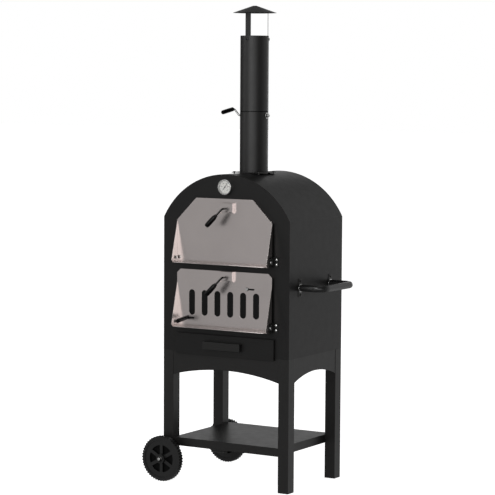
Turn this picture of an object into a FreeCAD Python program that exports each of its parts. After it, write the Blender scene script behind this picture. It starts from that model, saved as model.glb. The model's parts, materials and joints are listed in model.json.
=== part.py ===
import FreeCAD, Part
import math
import os

# Free-standing wood fired pizza oven: an arched sheet-steel body on a wheeled tube stand.
# Sizes are in millimetres. While it is built, x = 0 is the middle of the body (positive to the
# side with the carrying handle), y = 0 is the middle of its depth (negative to the doors) and
# z = 0 is the floor. Every piece is moved at the end so that the origin is on the floor at the
# middle of the whole footprint.

# ---- Driving dimensions: body -------------------------------------------------------------
body_width = 475.0
body_depth = 346.0
body_floor_z = 432.0
side_wall_height = 438.0
crown_rise = 144.0
shell_thick = 1.5
panel_thick = 2.0
floor_thick = 2.0

# ---- Stand --------------------------------------------------------------------------------
leg_size = 38.0
leg_wall = 1.5
foot_cap_thick = 3.0
apron_mid_depth = 53.0
apron_end_depth = 79.0
apron_flange = 18.0
apron_recess = 1.0
shelf_top_z = 145.0
shelf_flange = 27.5

# ---- Wheels -------------------------------------------------------------------------------
wheel_radius = 75.0
wheel_width = 20.0
wheel_offset = 29.0
tread_count = 48
tread_height = 4.0
tread_ring = 12.0
wheel_recess = 2.5
pocket_radius = 45.0
pocket_floor = 3.0
spoke_count = 6
spoke_width = 11.0
hub_radius = 15.0
hub_length = 30.0
wheel_bolt_radius = 5.0
wheel_bolt_flats = 16.0
wheel_bolt_head = 6.0
wheel_bolt_end = 9.0
axle_edge = 15.0
axle_leg_below = 30.0
push_nut_radius = 9.0
push_nut_thick = 3.5

# ---- Doors --------------------------------------------------------------------------------
door_side_margin = 58.5
door_standoff = 10.0
door_sheet = 1.2
door_ledge = 35.0
door_overlap = 12.0
upper_door_lift_share = 0.6678
upper_door_below_crown = 78.0
upper_cheek_share = 0.3162
upper_top_share = 0.5955
lower_door_above_drawer = 22.0
lower_door_height_share = 0.4292
lower_cheek_share = 0.7766
lower_top_share = 0.9274
lower_side_share = 0.9309
lower_top_overlap = 8.5
pivot_above_ledge = 16.0
pivot_standoff = 20.5
ledge_chamfer = 8.0

# ---- Hinge brackets and fasteners -----------------------------------------------------------
bracket_thick = 2.0
bracket_width = 18.0
bracket_height = 32.0
bracket_lug_depth = 30.0
pivot_radius = 3.5
pivot_head_radius = 6.0
pivot_head = 3.5
pivot_nut_flats = 10.0
pivot_nut_thick = 4.0
screw_radius = 2.4
screw_head_radius = 4.6
screw_head = 2.6
screw_length = 9.0
bracket_screw_pitch = 15.5

# ---- Door latches ---------------------------------------------------------------------------
latch_x = 12.0
upper_latch_below_top = 30.5
lower_latch_below_top = 18.0
latch_bracket_width = 51.0
latch_bracket_height = 34.5
latch_bracket_depth = 12.0
latch_bracket_sheet = 1.5
latch_rod_radius = 3.2
latch_rod_reach = 20.0
latch_neck = 28.0
latch_grip_length = 50.0
latch_grip_neck_radius = 6.0
latch_grip_end_radius = 8.2
lever_side = 0.64
lever_out = 0.22
lever_drop = 0.735
tongue_length = 30.0
tongue_half_width = 6.0
tongue_thick = 3.0
tongue_hub_radius = 7.5
tongue_hub_length = 9.0

# ---- Draught slots and slider ---------------------------------------------------------------
slot_count = 6
slot_field_share = 0.8129
slot_width_share = 0.464
slot_height_share = 0.4415
slot_centre_share = 0.4309
keyhole_radius = 5.8
guide_slot_height = 5.4
guide_upper_pitches = 1.804
guide_upper_share = 0.7154
guide_lower_pitches = -2.876
guide_lower_share = 0.1596
guide_end_play = 0.5
slider_sheet = 1.2
slider_margin = 8.0
peg_radius = 2.6
guide_head_radius = 4.6
guide_head = 2.5
small_grip_radius = 7.0
small_grip_neck_radius = 6.8
small_grip_length = 57.0
small_rod_radius = 2.2
knob_droop_deg = 6.7

# ---- Ash drawer -----------------------------------------------------------------------------
drawer_front_margin = 52.0
drawer_front_drop = 7.0
drawer_front_height = 68.0
drawer_front_standoff = 8.0
drawer_sheet = 1.2
drawer_tray_margin = 72.5
drawer_tray_height = 44.0
drawer_tray_end_gap = 46.0
drawer_lift = 4.0
drawer_gap = 3.0
pull_centre_x = -4.0
pull_length = 140.0
pull_height = 25.0
pull_depth = 14.0
runner_height = 12.0

# ---- Inside -----------------------------------------------------------------------------------
rail_leg = 16.0
rail_thick = 2.0
rail_end_gap = 20.0
grate_share = 0.1918
stone_share = 0.6758
rack_share = 0.9361
grate_thick = 12.0
grate_bar = 8.0
grate_bar_count = 11
stone_thick = 12.0
stone_side_gap = 8.0
rack_rod_radius = 3.0
rack_wire_radius = 2.0
rack_wire_count = 17
inside_end_gap = 22.0

# ---- Thermometer ------------------------------------------------------------------------------
thermo_below_crown = 41.0
thermo_radius = 25.0
thermo_depth = 11.0
thermo_wall = 1.5
thermo_lip = 3.0
thermo_stem_radius = 3.0
thermo_stem_length = 65.0
needle_length = 15.0
needle_tail = 6.0
needle_width = 1.8
needle_thick = 0.6
needle_angle_deg = 52.0
needle_pin_radius = 1.0

# ---- Chimney ------------------------------------------------------------------------------------
pipe_radius = 46.5
pipe_wall = 1.5
pipe_bottom_drop = 14.0
lower_pipe_rise = 199.5
upper_pipe_rise = 245.5
pipe_joint_gap = 2.5
spigot_length = 22.0
spigot_neck = 6.0
flange_margin = 8.0
flange_thick = 2.0
flange_screw_edge = 8.0
damper_below_seam = 13.5
damper_gap = 3.2
damper_plate_thick = 1.5
damper_rod_radius = 3.0
damper_rod_proud = 11.5
damper_washer_radius = 9.5
damper_washer_thick = 1.5
damper_nut_flats = 13.0
damper_nut_thick = 6.0
damper_crank_side = 19.0
damper_crank_rise = 21.0
damper_grip_side = 0.11
damper_grip_drop = 0.19
cap_overhang = 25.0
cap_rim_above_pipe = 74.0
cap_height = 23.0
cap_top_radius = 6.0
cap_sheet = 1.2
strap_width = 18.0
strap_thick = 1.5
strap_tuck = 24.0
cap_screw_below_rim = 11.5

# ---- Carrying handle ----------------------------------------------------------------------------
handle_share = 0.5114
handle_mid_y = -6.5
handle_span_share = 0.5694
handle_reach = 84.0
handle_tube_radius = 11.0
handle_tube_wall = 1.5
handle_bend = 28.0
handle_plate_width = 24.0
handle_plate_height = 60.0
handle_plate_thick = 1.5
handle_screw_pitch = 45.0
handle_collar_radius = 13.0
handle_collar_length = 1.5

# ---- Clearances ---------------------------------------------------------------------------------
running_gap = 0.05
seat_gap = 0.05
body_gap = 0.3
washer_gap = 0.4

# ---- Sizes that follow from the ones above ------------------------------------------------------
half_width = body_width / 2
half_depth = body_depth / 2
front_y = -half_depth
shoulder_z = body_floor_z + side_wall_height
crown_z = shoulder_z + crown_rise
arch_radius = (half_width ** 2 + crown_rise ** 2) / (2 * crown_rise)
leg_inner_x = half_width - leg_size
leg_inner_y = half_depth - leg_size
axle_x = axle_edge - half_width
axle_z = wheel_radius
drawer_front_z = body_floor_z - drawer_front_drop
drawer_front_half = half_width - drawer_front_margin
drawer_tray_width = body_width - 2 * drawer_tray_margin
drawer_tray_depth = body_depth - drawer_tray_end_gap
pull_centre_z = drawer_front_z + drawer_front_height / 2
door_face_y = front_y - door_standoff
door_back_y = door_face_y + door_sheet
pivot_y = front_y - pivot_standoff
door_half_width = half_width - door_side_margin
upper_door_z = body_floor_z + side_wall_height * upper_door_lift_share
upper_door_top = crown_z - upper_door_below_crown
upper_cheek_height = side_wall_height * upper_cheek_share
upper_top_half = door_half_width * upper_top_share
lower_door_z = drawer_front_z + drawer_front_height + lower_door_above_drawer
lower_door_height = side_wall_height * lower_door_height_share
lower_door_top = lower_door_z + lower_door_height
lower_cheek_height = lower_door_height * lower_cheek_share
lower_side_height = lower_door_height * lower_side_share
lower_top_half = door_half_width * lower_top_share
slot_pitch = 2 * door_half_width * slot_field_share / slot_count
slot_width = slot_pitch * slot_width_share
slot_height = lower_door_height * slot_height_share
slot_centre_z = lower_door_z + lower_door_height * slot_centre_share
guide_upper_x = slot_pitch * guide_upper_pitches
guide_upper_z = lower_door_z + lower_door_height * guide_upper_share
guide_lower_x = slot_pitch * guide_lower_pitches
guide_lower_z = lower_door_z + lower_door_height * guide_lower_share
upper_pivot_z = upper_door_z + pivot_above_ledge
lower_pivot_z = lower_door_z + pivot_above_ledge
upper_latch_z = upper_door_top - upper_latch_below_top
lower_latch_z = lower_door_top - lower_latch_below_top
latch_face_y = door_face_y - latch_bracket_depth
drawer_face_y = front_y - drawer_front_standoff
drawer_tray_z = body_floor_z + floor_thick + drawer_lift
inner_half = half_width - shell_thick
grate_z = body_floor_z + side_wall_height * grate_share
stone_z = body_floor_z + side_wall_height * stone_share
rack_z = body_floor_z + side_wall_height * rack_share
thermo_z = crown_z - thermo_below_crown
handle_z = body_floor_z + side_wall_height * handle_share
handle_half_span = half_depth * handle_span_share
pipe_bore = pipe_radius - pipe_wall
pipe_seam_z = crown_z + lower_pipe_rise
pipe_top_z = pipe_seam_z + upper_pipe_rise
flange_side = 2 * (pipe_radius + flange_margin)
damper_axis_z = pipe_seam_z - damper_below_seam
damper_rod_reach = pipe_radius + damper_rod_proud
cap_radius = pipe_radius + cap_overhang
cap_rim_z = pipe_top_z + cap_rim_above_pipe
slider_travel = slot_pitch / 2
strap_face = math.sqrt((pipe_bore - body_gap) ** 2 - (strap_width / 2) ** 2)
cap_screw_z = pipe_top_z - cap_screw_below_rim
flange_screw = flange_side / 2 - flange_screw_edge

V = FreeCAD.Vector
X = V(1, 0, 0)
Y = V(0, 1, 0)
Z = V(0, 0, 1)

os.makedirs("parts", exist_ok=True)


# ---- Helpers --------------------------------------------------------------------------------------
def box(x, y, z):
    """Block between the low and high values of each (low, high) pair."""
    return Part.makeBox(x[1] - x[0], y[1] - y[0], z[1] - z[0], V(x[0], y[0], z[0]))


def rod(radius, start, end):
    """Cylinder between two points."""
    return Part.makeCylinder(radius, (end - start).Length, start, end - start)


def ring(outer, inner, start, end):
    """Tube between two points."""
    return rod(outer, start, end).cut(rod(inner, start, end))


def joined(solids):
    """One clean solid from several that touch or overlap."""
    body = solids[0]
    if len(solids) > 1:
        body = body.fuse(solids[1:])
    return body.removeSplitter()


def slab_xz(points, y_low, y_high):
    """Flat sheet with an outline in x and z, between two y values."""
    corners = [V(x, y_low, z) for x, z in points]
    face = Part.Face(Part.makePolygon(corners + corners[:1]))
    return face.extrude(V(0, y_high - y_low, 0))


def slab_yz(points, x_low, x_high):
    """Flat sheet with an outline in y and z, between two x values."""
    corners = [V(x_low, y, z) for y, z in points]
    face = Part.Face(Part.makePolygon(corners + corners[:1]))
    return face.extrude(V(x_high - x_low, 0, 0))


def hexagon(flats, start, end):
    """Six-sided bar between two points, sized across its flats."""
    along = (end - start).normalize()
    side = along.cross(Z if abs(along.z) < 0.9 else X).normalize()
    up = along.cross(side)
    reach = flats / math.sqrt(3)
    corners = []
    for i in range(6):
        turn = math.radians(60 * i)
        corners.append(start + side * (reach * math.cos(turn)) + up * (reach * math.sin(turn)))
    face = Part.Face(Part.makePolygon(corners + corners[:1]))
    return face.extrude(end - start)


def round_slot(centre_x, centre_z, length_x, length_z, y_low, y_high):
    """Slot cutter with round ends, long in x or in z."""
    radius = min(length_x, length_z) / 2
    run_x = length_x / 2 - radius
    run_z = length_z / 2 - radius
    ends = []
    for sign in (-1, 1):
        x = centre_x + sign * run_x
        z = centre_z + sign * run_z
        ends.append(rod(radius, V(x, y_low, z), V(x, y_high, z)))
    if run_x > run_z:
        half = (run_x, radius)
    else:
        half = (radius, run_z)
    middle = box((centre_x - half[0], centre_x + half[0]), (y_low, y_high),
                 (centre_z - half[1], centre_z + half[1]))
    return joined(ends + [middle])


def bent_path(points, bend):
    """Wire through the points with every inner corner rounded to one bend radius."""
    edges = []
    start = points[0]
    for before, corner, after in zip(points, points[1:], points[2:]):
        into = (before - corner).normalize()
        out = (after - corner).normalize()
        angle = into.getAngle(out)
        back = bend / math.tan(angle / 2)
        first = corner + into * back
        last = corner + out * back
        centre = corner + (into + out).normalize() * (bend / math.sin(angle / 2))
        middle = centre + (corner - centre).normalize() * bend
        edges.append(Part.LineSegment(start, first).toShape())
        edges.append(Part.Arc(first, middle, last).toShape())
        start = last
    edges.append(Part.LineSegment(start, points[-1]).toShape())
    return Part.Wire(edges)


def bent_rod(points, bend, radius):
    """Round bar along a bent path."""
    path = bent_path(points, bend)
    circle = Part.Wire(Part.makeCircle(radius, points[0], points[1] - points[0]))
    return path.makePipeShell([circle], True, False)


def spun(outline, start, direction):
    """Solid of revolution from (radius, distance) pairs, set along a direction from a start."""
    corners = [V(radius, 0, height) for radius, height in outline]
    solid = Part.Face(Part.makePolygon(corners + corners[:1])).revolve(V(0, 0, 0), Z, 360)
    turn = FreeCAD.Rotation(Z, direction)
    solid.Placement = FreeCAD.Placement(start, turn)
    return solid


def grip(start, direction, length, neck, end, bore):
    """Tapered handle grip with a rounded end and a blind bore for its rod."""
    round_end = end * 0.35
    outline = [(bore, 0), (neck - 0.8, 0), (neck, 0.8), (end, length * 0.42),
               (end, length - round_end), (end - round_end, length),
               (0, length), (0, length * 0.6), (bore, length * 0.6)]
    return spun(outline, start, direction)


def save(name, solids):
    """Write one node, moved so that the origin is under the middle of the footprint."""
    shape = solids[0] if len(solids) == 1 else Part.makeCompound(solids)
    moved = shape.copy()
    moved.translate(V(-footprint_x, -footprint_y, 0))
    moved.exportStep("parts/" + name + ".step")


# ---- Fastener positions ---------------------------------------------------------------------------
def screw(seat, into):
    """Domed screw: the seat is the surface under its head, into is the way it goes in."""
    dome = screw_head * 0.45
    outline = [(0, screw_length), (screw_radius, screw_length), (screw_radius, 0),
               (screw_head_radius, 0), (screw_head_radius, -dome),
               (screw_head_radius * 0.6, -screw_head), (0, -screw_head)]
    return spun(outline, seat, into)


def screw_hole(seat, into):
    """Cutter for one screw's shank."""
    return rod(screw_radius + seat_gap, seat - into * screw_length, seat + into * screw_length * 2)


def bracket_seats():
    """Two screws on each of the four door hinge brackets."""
    seats = []
    for pivot_z in (upper_pivot_z, lower_pivot_z):
        for side in (-1, 1):
            x = side * (door_half_width + washer_gap + bracket_width * 0.62)
            for level in (-0.5, 0.5):
                z = pivot_z + level * bracket_screw_pitch
                seats.append((V(x, front_y - bracket_thick, z), Y))
    return seats


def handle_end_y(end):
    """Middle of the carrying handle's front (-1) or back (1) end."""
    return handle_mid_y + end * handle_half_span


def handle_seats():
    """Two screws on each mounting plate of the carrying handle."""
    seats = []
    for end in (-1, 1):
        for level in (-0.5, 0.5):
            z = handle_z + level * handle_screw_pitch
            seats.append((V(half_width + handle_plate_thick, handle_end_y(end), z), X * -1))
    return seats


def flange_seats():
    """One screw at each corner of the chimney base plate."""
    seats = []
    for side_x in (-1, 1):
        for side_y in (-1, 1):
            seats.append((V(side_x * flange_screw, side_y * flange_screw,
                            crown_z + flange_thick), Z * -1))
    return seats


def cap_seats():
    """One screw through the chimney wall into each cap strap."""
    seats = []
    for turn in strap_turns:
        out = V(math.cos(turn), math.sin(turn), 0)
        seats.append((out * pipe_radius + Z * cap_screw_z, out * -1))
    return seats


strap_turns = [math.radians(angle) for angle in (-90, 30, 150)]
all_seats = bracket_seats() + handle_seats() + flange_seats() + cap_seats()


def with_screw_holes(shape, seats):
    """The shape with clearance holes for the given screws."""
    return shape.cut([screw_hole(seat, into) for seat, into in seats])


# ---- Stand ----------------------------------------------------------------------------------------
def leg(side_x, side_y, bottom_z):
    """Square tube leg flush with the body's corner."""
    x = sorted((side_x * half_width, side_x * leg_inner_x))
    y = sorted((side_y * half_depth, side_y * leg_inner_y))
    tube = box(x, y, (bottom_z, body_floor_z))
    bore = box((x[0] + leg_wall, x[1] - leg_wall), (y[0] + leg_wall, y[1] - leg_wall),
               (bottom_z, body_floor_z))
    tube = tube.cut(bore)
    if side_x < 0:
        tube = tube.cut(rod(wheel_bolt_radius + seat_gap, V(axle_x, y[0], axle_z),
                            V(axle_x, y[1], axle_z)))
    return tube


def leg_cap(side_x, side_y, bottom_z):
    """Plastic plug that closes the bottom end of one leg."""
    x = sorted((side_x * half_width, side_x * leg_inner_x))
    y = sorted((side_y * half_depth, side_y * leg_inner_y))
    pad = box(x, y, (bottom_z - foot_cap_thick, bottom_z))
    inset = leg_wall + seat_gap
    plug = box((x[0] + inset, x[1] - inset), (y[0] + inset, y[1] - inset),
               (bottom_z, bottom_z + 4 * foot_cap_thick))
    return joined([pad, plug])


def apron_outline(half_run):
    """Apron side view: straight top, arched underside."""
    end_z = body_floor_z - apron_end_depth
    rise = apron_end_depth - apron_mid_depth
    radius = (half_run ** 2 + rise ** 2) / (2 * rise)
    return end_z, rise, radius


def apron(half_run, along, outward, face):
    """Arched panel between two legs with a flange folded in under the body."""
    end_z, rise, radius = apron_outline(half_run)
    low = end_z - 1
    panel = box((-half_run, half_run), (0, shell_thick), (low, body_floor_z))
    centre_z = end_z + rise - radius
    arch = rod(radius, V(0, -1, centre_z), V(0, shell_thick + 1, centre_z))
    panel = panel.cut(arch)
    flange = box((-half_run, half_run), (0, apron_flange),
                 (body_floor_z - shell_thick, body_floor_z))
    shape = joined([panel, flange])
    turn = FreeCAD.Rotation(X, along)
    if outward.dot(turn.multVec(Y * -1)) < 0:
        shape = shape.mirror(V(0, 0, 0), Y)
    shape.Placement = FreeCAD.Placement(outward * face, turn).multiply(shape.Placement)
    return shape


def bottom_shelf():
    """Folded tray between the legs, its edges turned down."""
    x = (-leg_inner_x, leg_inner_x)
    y = (-half_depth, half_depth)
    block = box(x, y, (shelf_top_z - shelf_flange, shelf_top_z))
    hollow = box((x[0] + shell_thick, x[1] - shell_thick), (y[0] + shell_thick, y[1] - shell_thick),
                 (shelf_top_z - shelf_flange, shelf_top_z - shell_thick))
    return block.cut(hollow)


# ---- Wheels -----------------------------------------------------------------------------------------
def wheel_mid_y(side):
    """Middle plane of the wheel on the front (-1) or back (1) side."""
    return side * (half_depth + wheel_offset)


def tread_outline(offset):
    """Toothed outline of one row of tread; the two rows are half a tooth apart."""
    points = []
    for i in range(2 * tread_count):
        radius = wheel_radius - ((i + offset) % 2) * tread_height
        turn = math.pi * i / tread_count
        points.append((axle_x + radius * math.sin(turn), axle_z - radius * math.cos(turn)))
    return points


def wheel(side):
    """One-piece wheel with a toothed tread and six closed pockets between its spokes."""
    mid = wheel_mid_y(side)
    centre = V(axle_x, mid, axle_z)
    half = wheel_width / 2
    shape = joined([slab_xz(tread_outline(0), mid - half, mid),
                    slab_xz(tread_outline(1), mid, mid + half)])
    spokes = []
    for i in range(spoke_count):
        spoke = box((axle_x - spoke_width / 2, axle_x + spoke_width / 2),
                    (mid - half, mid + half), (axle_z, axle_z + pocket_radius + 1))
        spoke.rotate(centre, Y, 360 * i / spoke_count)
        spokes.append(spoke)
    for way in (Y * -1, Y):
        face = centre + way * half
        recess = rod(wheel_radius - tread_ring, centre + way * (half - wheel_recess), face)
        pocket = rod(pocket_radius, centre + way * (pocket_floor / 2), face)
        shape = shape.cut([recess, pocket.cut(spokes)])
    hub_inner = -side * (wheel_offset - washer_gap)
    hub_ends = sorted((hub_inner, side * hub_length / 2))
    hub = rod(hub_radius, centre + Y * hub_ends[0], centre + Y * hub_ends[1])
    shape = joined([shape, hub])
    bore = rod(wheel_bolt_radius + running_gap, centre - Y * 60, centre + Y * 60)
    return shape.cut(bore)


def wheel_bolt(side):
    """Bolt from inside a left leg out through its wheel."""
    inner = side * leg_inner_y
    outer = side * (half_depth + wheel_offset + hub_length / 2 + wheel_bolt_end)
    shank = rod(wheel_bolt_radius, V(axle_x, inner, axle_z), V(axle_x, outer, axle_z))
    rim = [edge for edge in shank.Edges if edge.isClosed() and abs(edge.Vertexes[0].Y - outer) < 1]
    shank = shank.makeChamfer(wheel_bolt_radius * 0.2, rim)
    head = hexagon(wheel_bolt_flats, V(axle_x, inner - side * wheel_bolt_head, axle_z),
                   V(axle_x, inner, axle_z))
    return joined([shank, head])


def push_nut(side):
    """Domed push-on washer that keeps a wheel on its bolt."""
    start = side * (half_depth + wheel_offset + hub_length / 2 + washer_gap)
    bore = wheel_bolt_radius + seat_gap
    dome = push_nut_thick * 0.5
    outline = [(bore, 0), (push_nut_radius, 0), (push_nut_radius, push_nut_thick - dome),
               (push_nut_radius - 2 * dome, push_nut_thick), (bore, push_nut_thick)]
    return spun(outline, V(axle_x, start, axle_z), Y * side)


# ---- Body -------------------------------------------------------------------------------------------
def arch_profile(inset, y):
    """Closed wire of the body's end view: straight sides under a flat arch."""
    half = half_width - inset
    base = body_floor_z
    radius = arch_radius - inset
    centre_z = crown_z - arch_radius
    spring_z = centre_z + math.sqrt(radius ** 2 - half ** 2)
    left = V(-half, y, spring_z)
    right = V(half, y, spring_z)
    edges = [Part.LineSegment(V(-half, y, base), V(half, y, base)).toShape(),
             Part.LineSegment(V(half, y, base), right).toShape(),
             Part.Arc(right, V(0, y, centre_z + radius), left).toShape(),
             Part.LineSegment(left, V(-half, y, base)).toShape()]
    return Part.Wire(edges)


def arch_block(inset, y_low, y_high):
    """Solid with the body's end view."""
    return Part.Face(arch_profile(inset, y_low)).extrude(V(0, y_high - y_low, 0))


def body_shell():
    """One wrapped sheet: both side walls and the barrel roof."""
    y_low = front_y + panel_thick
    y_high = half_depth - panel_thick
    shell = arch_block(0, y_low, y_high).cut(arch_block(shell_thick, y_low, y_high))
    trim = box((-inner_half, inner_half), (y_low, y_high), (body_floor_z - 1, body_floor_z + 60))
    shell = shell.cut(trim)
    flue = rod(pipe_radius + seat_gap, V(0, 0, shoulder_z), V(0, 0, crown_z + 1))
    return with_screw_holes(shell.cut(flue), handle_seats() + flange_seats())


def upper_door_outline(inset, bottom_z):
    """Door and opening outline with sloping shoulders."""
    top = upper_door_top - inset
    side = door_half_width - inset
    shoulder = upper_door_z + upper_cheek_height - inset * 0.4
    narrow = upper_top_half - inset * 0.4
    return [(-side, bottom_z), (side, bottom_z), (side, shoulder), (narrow, top),
            (-narrow, top), (-side, shoulder)]


def lower_door_outline():
    """Lower door outline with small corner chamfers."""
    side_z = lower_door_z + lower_side_height
    return [(-door_half_width, lower_door_z), (door_half_width, lower_door_z),
            (door_half_width, side_z), (lower_top_half, lower_door_top),
            (-lower_top_half, lower_door_top), (-door_half_width, side_z)]


def opening_half():
    """Half width of the lower door opening."""
    return door_half_width - door_overlap


def front_panel():
    """Flat front sheet with two door openings, the drawer slot and the thermometer hole."""
    y = (front_y, front_y + panel_thick)
    sheet = arch_block(0, y[0], y[1])
    upper = slab_xz(upper_door_outline(door_overlap, upper_pivot_z), y[0] - 1, y[1] + 1)
    lower = box((-opening_half(), opening_half()), (y[0] - 1, y[1] + 1),
                (lower_pivot_z, lower_door_top - lower_top_overlap))
    tray_half = drawer_tray_width / 2 + drawer_gap
    drawer = box((-tray_half, tray_half), (y[0] - 1, y[1] + 1),
                 (body_floor_z + floor_thick, drawer_tray_z + drawer_tray_height + drawer_gap))
    stem = rod(thermo_stem_radius + seat_gap, V(0, y[0] - 1, thermo_z), V(0, y[1] + 1, thermo_z))
    return with_screw_holes(sheet.cut([upper, lower, drawer, stem]), bracket_seats())


def rear_panel():
    """Plain back sheet."""
    return arch_block(0, half_depth - panel_thick, half_depth)


def body_floor():
    """Bottom plate inside the shell, resting on the legs and apron flanges."""
    return box((-inner_half, inner_half), (front_y + panel_thick, half_depth - panel_thick),
               (body_floor_z, body_floor_z + floor_thick))


# ---- Inside pieces ------------------------------------------------------------------------------------
def side_rail(side, top_z):
    """Angle rail along one side wall; its flat leg carries a grate, stone or rack."""
    wall = side * inner_half
    x_flat = sorted((wall, wall - side * rail_leg))
    x_wall = sorted((wall, wall - side * rail_thick))
    y = (front_y + rail_end_gap, half_depth - rail_end_gap)
    flat = box(x_flat, y, (top_z - rail_thick, top_z))
    upright = box(x_wall, y, (top_z - rail_leg, top_z))
    return joined([flat, upright])


def inside_box(top_z, height, side_gap):
    """Space for a piece that lies on the rails."""
    half = inner_half - side_gap
    return (-half, half), (front_y + inside_end_gap, half_depth - inside_end_gap), \
        (top_z, top_z + height)


def charcoal_grate():
    """Cast grate: frame with bars running front to back."""
    x, y, z = inside_box(grate_z, grate_thick, stone_side_gap)
    frame_bar = 2 * grate_bar
    frame = box(x, y, z).cut(box((x[0] + frame_bar, x[1] - frame_bar),
                                 (y[0] + frame_bar, y[1] - frame_bar), z))
    bars = []
    span = x[1] - x[0] - 2 * frame_bar
    for i in range(grate_bar_count):
        middle = x[0] + frame_bar + span * (i + 1) / (grate_bar_count + 1)
        bars.append(box((middle - grate_bar / 2, middle + grate_bar / 2),
                        (y[0] + frame_bar / 2, y[1] - frame_bar / 2),
                        (z[0] + 2, z[1])))
    return joined([frame] + bars)


def pizza_stone():
    """Flat baking stone with eased edges."""
    x, y, z = inside_box(stone_z, stone_thick, stone_side_gap)
    block = box(x, y, z)
    return block.makeFillet(stone_thick * 0.15, block.Edges)


def cooking_rack():
    """Wire rack: round frame rods with thinner wires on top."""
    x, y, z = inside_box(rack_z, 2 * rack_rod_radius, stone_side_gap)
    mid_z = rack_z + rack_rod_radius
    left = x[0] + rack_rod_radius
    right = x[1] - rack_rod_radius
    front = y[0] + rack_rod_radius
    back = y[1] - rack_rod_radius
    rods = []
    for cross_y in (front, back):
        rods.append(rod(rack_rod_radius, V(x[0], cross_y, mid_z), V(x[1], cross_y, mid_z)))
    for side_x in (left, right):
        rods.append(rod(rack_rod_radius * 0.9, V(side_x, front, mid_z), V(side_x, back, mid_z)))
    for i in range(rack_wire_count):
        wire_x = left + (right - left) * (i + 1) / (rack_wire_count + 1)
        wire_z = mid_z + rack_rod_radius * 0.5
        rods.append(rod(rack_wire_radius, V(wire_x, y[0], wire_z), V(wire_x, y[1], wire_z)))
    return joined(rods)


# ---- Ash drawer -----------------------------------------------------------------------------------------
def drawer_runner(side):
    """Upright strip on the body floor that guides one side of the tray."""
    inner = drawer_tray_width / 2 + drawer_gap
    x = sorted((side * inner, side * (inner + rail_thick)))
    foot = sorted((side * inner, side * (inner + rail_leg)))
    y = (front_y + rail_end_gap, half_depth - rail_end_gap)
    floor_top = body_floor_z + floor_thick
    upright = box(x, y, (floor_top, floor_top + runner_height))
    base = box(foot, y, (floor_top, floor_top + rail_thick))
    return joined([upright, base])


def ash_tray():
    """Open-topped tray."""
    half = drawer_tray_width / 2
    y = (drawer_face_y + drawer_sheet, drawer_face_y + drawer_sheet + drawer_tray_depth)
    z = (drawer_tray_z, drawer_tray_z + drawer_tray_height)
    block = box((-half, half), y, z)
    hollow = box((-half + drawer_sheet, half - drawer_sheet),
                 (y[0] + drawer_sheet, y[1] - drawer_sheet), (z[0] + drawer_sheet, z[1] + 1))
    return block.cut(hollow)


def drawer_front():
    """Folded front plate, its edges turned back towards the panel."""
    z = (drawer_front_z, drawer_front_z + drawer_front_height)
    back = front_y - body_gap
    block = box((-drawer_front_half, drawer_front_half), (drawer_face_y, back), z)
    half = drawer_front_half - drawer_sheet
    hollow = box((-half, half), (drawer_face_y + drawer_sheet, back),
                 (z[0] + drawer_sheet, z[1] - drawer_sheet))
    return block.cut(hollow)


def drawer_pull():
    """Folded channel pull: a front strip with its top and ends turned back to the drawer."""
    x = (pull_centre_x - pull_length / 2, pull_centre_x + pull_length / 2)
    y = (drawer_face_y - pull_depth, drawer_face_y)
    z = (pull_centre_z - pull_height / 2, pull_centre_z + pull_height / 2)
    block = box(x, y, z)
    sheet = shell_thick
    hollow = box((x[0] + sheet, x[1] - sheet), (y[0] + sheet, y[1]), (z[0] - 1, z[1] - sheet))
    return block.cut(hollow)


# ---- Doors ------------------------------------------------------------------------------------------------
def door_tray(outline, bottom_z, cheek_height, return_points):
    """Stainless door: plate, outward ledge and cheeks, and a return folded back at the top."""
    plate = slab_xz(outline, door_face_y, door_back_y)
    ledge_y = door_face_y - door_ledge
    ledge = box((-door_half_width, door_half_width), (ledge_y, door_back_y),
                (bottom_z, bottom_z + door_sheet))
    pieces = [plate, ledge]
    pivot_z = bottom_z + pivot_above_ledge
    for side in (-1, 1):
        x = sorted((side * door_half_width, side * (door_half_width - door_sheet)))
        cheek = [(door_back_y, bottom_z), (ledge_y + ledge_chamfer, bottom_z),
                 (ledge_y, bottom_z + ledge_chamfer), (door_face_y, bottom_z + cheek_height),
                 (door_back_y, bottom_z + cheek_height)]
        pieces.append(slab_yz(cheek, x[0], x[1]))
    trim = slab_yz([(ledge_y - 1, bottom_z - 1), (ledge_y + ledge_chamfer, bottom_z - 1),
                    (ledge_y + ledge_chamfer, bottom_z), (ledge_y, bottom_z + ledge_chamfer),
                    (ledge_y - 1, bottom_z + ledge_chamfer)],
                   -door_half_width - 1, door_half_width + 1)
    back = front_y - 2 * body_gap
    rim = slab_xz(outline, door_back_y, back)
    inner = [(x * (1 - door_sheet / door_half_width), z - door_sheet * 1.1) for x, z in outline]
    rim = rim.cut(slab_xz(inner, door_back_y - 1, back + 1))
    rim = rim.common(box((-body_width, body_width), (door_back_y, back), return_points))
    shape = joined(pieces + [rim])
    shape = shape.cut(trim)
    hole = rod(pivot_radius + running_gap, V(-body_width, pivot_y, pivot_z),
               V(body_width, pivot_y, pivot_z))
    return shape.cut(hole)


def latch_hole(latch_z):
    """Hole through a door plate for its latch rod."""
    return rod(latch_rod_radius + running_gap, V(latch_x, door_face_y - 1, latch_z),
               V(latch_x, door_back_y + 1, latch_z))


def upper_door():
    """Plain upper door with sloping shoulders."""
    outline = upper_door_outline(0, upper_door_z)
    returns = (upper_door_z + upper_cheek_height, upper_door_top)
    tray = door_tray(outline, upper_door_z, upper_cheek_height, returns)
    return tray.cut(latch_hole(upper_latch_z))


def slot_centres():
    """Middle x of each draught slot."""
    return [(i - (slot_count - 1) / 2) * slot_pitch for i in range(slot_count)]


def guide_points():
    """Keyhole centres in the lower door, where the slider's two pegs rest."""
    return (guide_upper_x, guide_upper_z), (guide_lower_x, guide_lower_z)


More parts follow.
